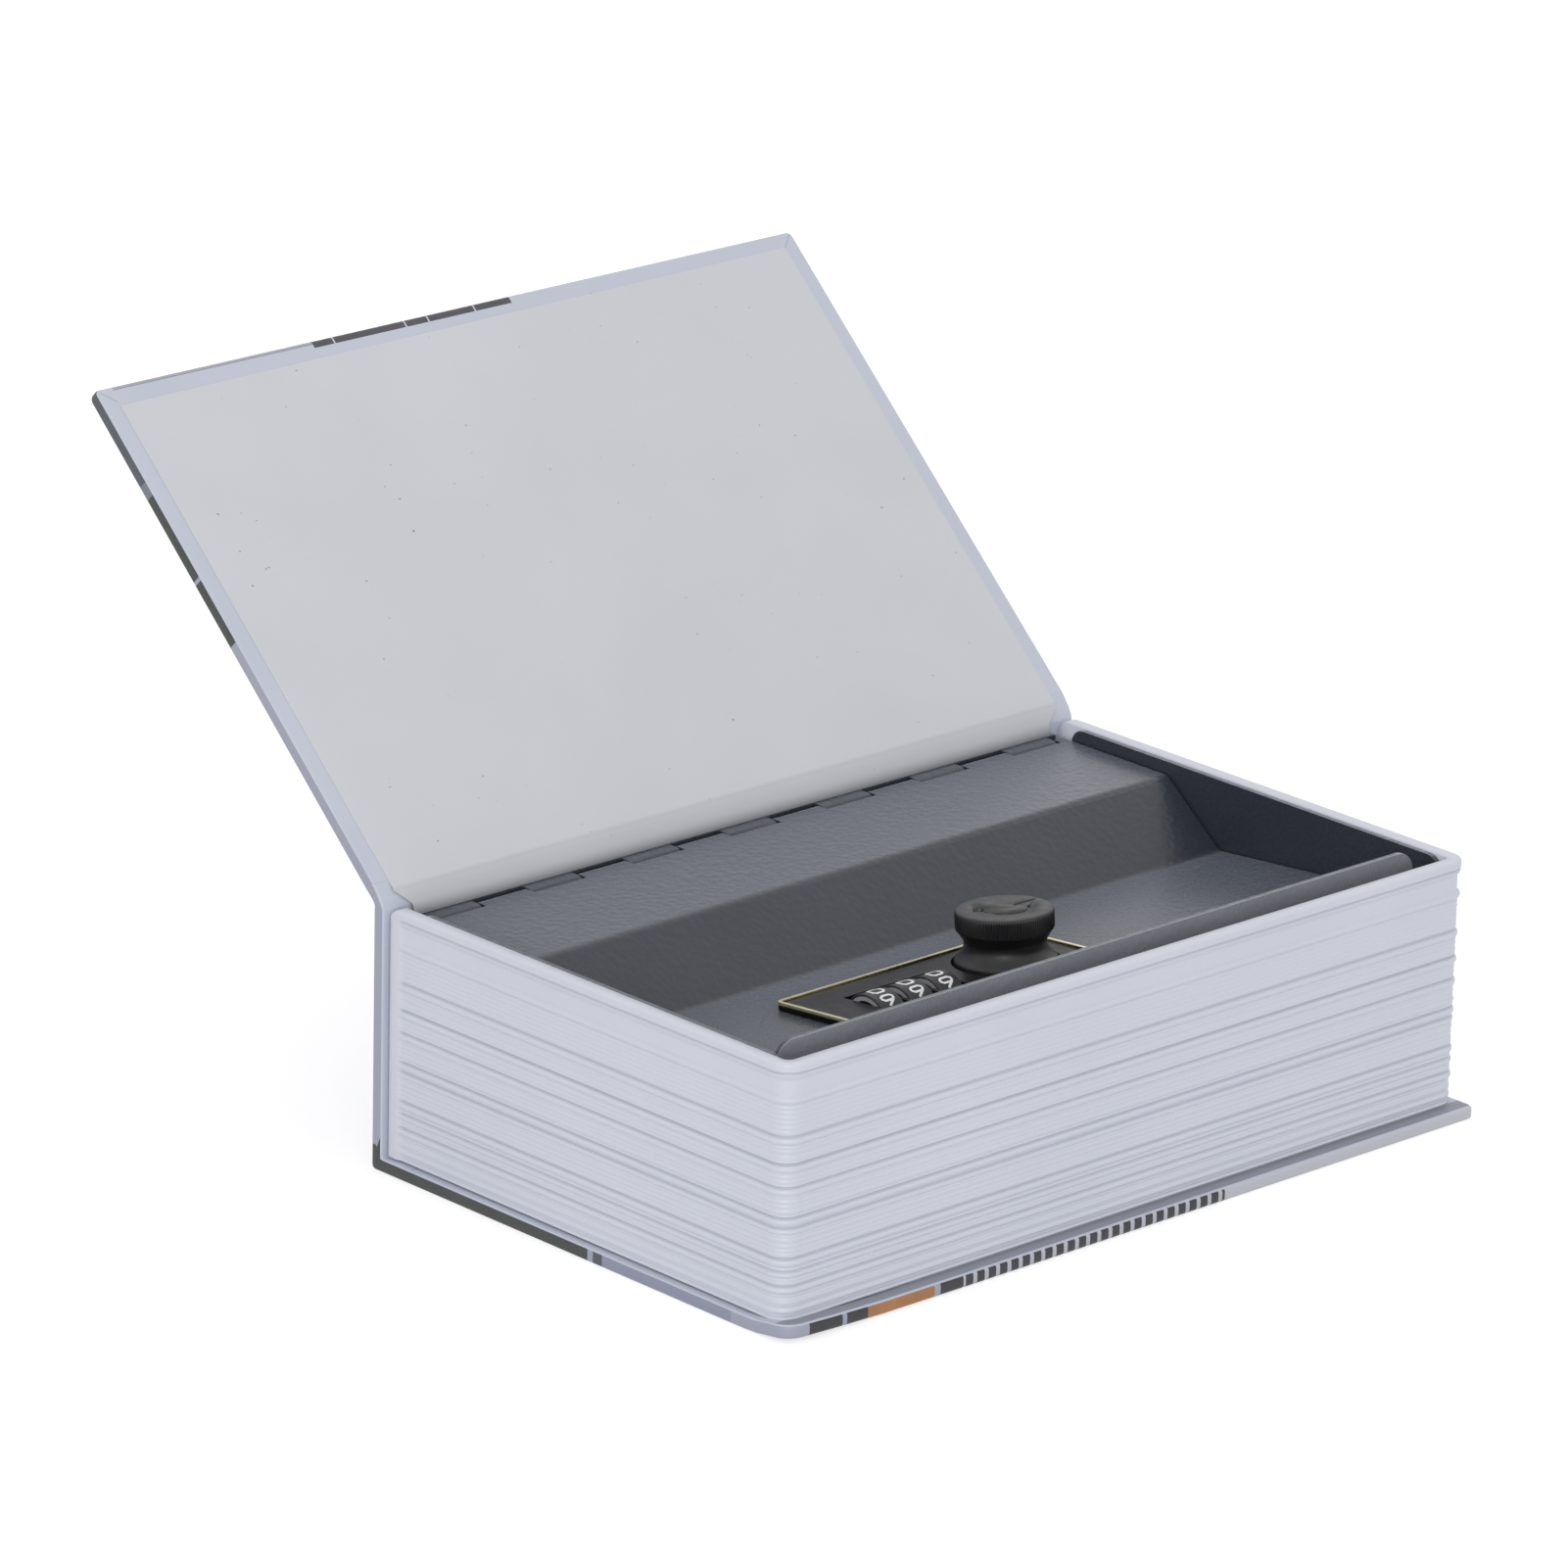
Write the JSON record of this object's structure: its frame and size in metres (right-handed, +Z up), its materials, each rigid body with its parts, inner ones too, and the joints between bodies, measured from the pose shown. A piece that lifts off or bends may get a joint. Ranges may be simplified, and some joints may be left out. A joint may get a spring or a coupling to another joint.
{
  "type": "book safe",
  "caption": "Book-shaped safe: hinged cover, ribbed page block, and a steel tray with a hinged lid that carries number dials and a turn knob.",
  "frame": {"origin": "middle of the back cover's underside", "axes": "+Z up from the table, +X along the spine, +Y from the fore edge to the spine"},
  "size_m": [0.18, 0.1993, 0.1334],
  "materials": {
    "wrap": "satin printed paper",
    "board": "matt greyboard",
    "endpaper": "matt",
    "pages": "ribbed satin moulding",
    "steel": "textured powder coat",
    "bare_steel": "plain",
    "black_plastic": "satin",
    "bezel": "satin",
    "trim": "bright",
    "brass": "plain"
  },
  "bodies": {
    "base": {"back_board": "board", "back_wrap": "wrap", "back_endpaper": "endpaper", "spine_board": "board", "spine_wrap": "wrap", "lower_crease": "wrap", "upper_crease": "wrap", "hinge_liner": "endpaper", "page_block": "pages", "steel_tray": "steel", "hinge_pin": "bare_steel", "tray_screw_1": "bare_steel", "tray_screw_2": "bare_steel", "tray_screw_3": "bare_steel", "tray_screw_4": "bare_steel", "cam_keeper": "bare_steel"},
    "cover": {"front_board": "board", "front_wrap": "wrap", "front_endpaper": "endpaper"},
    "lid": {"lid_panel": "steel", "lock_bezel": "bezel", "bezel_trim": "trim", "lock_body": "black_plastic", "lock_screw_1": "bare_steel", "lock_screw_2": "bare_steel", "lock_screw_3": "bare_steel", "lock_screw_4": "bare_steel", "dial_shaft": "bare_steel", "detent_spring": "bare_steel"},
    "knob": {"turn_knob": "black_plastic", "spindle": "bare_steel", "cam_arm": "bare_steel", "cam_screw": "bare_steel"},
    "dial_1": {"dial_wheel_1": "black_plastic", "code_sleeve_1": "brass"},
    "dial_2": {"dial_wheel_2": "black_plastic", "code_sleeve_2": "brass"},
    "dial_3": {"dial_wheel_3": "black_plastic", "code_sleeve_3": "brass"},
    "code_lever": {"code_change_lever": "brass"}
  },
  "joints": [
    {"name": "cover_hinge", "type": "hinge", "parent": "base", "child": "cover", "pos_m": [0, 0.057, 0.0545], "axis": [-1, 0, 0], "range_deg": [-137, 43], "deforming": ["hinge_liner", "upper_crease"]},
    {"name": "lid_hinge", "type": "hinge", "parent": "base", "child": "lid", "pos_m": [0, 0.0517, 0.0481], "axis": [-1, 0, 0], "range_deg": [0, 85], "deforming": ["hinge_liner"]},
    {"name": "knob_turn", "type": "hinge", "parent": "lid", "child": "knob", "pos_m": [0.0009, -0.0187, 0.04061], "axis": [0, -0.0924, -0.9957], "range_deg": [0, 90]},
    {"name": "dial_1_spin", "type": "hinge", "parent": "lid", "child": "dial_1", "pos_m": [-0.0325, -0.01896, 0.03782], "axis": [1, 0, 0], "continuous": true},
    {"name": "dial_2_spin", "type": "hinge", "parent": "lid", "child": "dial_2", "pos_m": [-0.025, -0.01896, 0.03782], "axis": [1, 0, 0], "continuous": true},
    {"name": "dial_3_spin", "type": "hinge", "parent": "lid", "child": "dial_3", "pos_m": [-0.0175, -0.01896, 0.03782], "axis": [1, 0, 0], "continuous": true},
    {"name": "code_change_slide", "type": "slide", "parent": "lid", "child": "code_lever", "axis": [1, 0, 0], "range_m": [0, 0.002]}
  ]
}
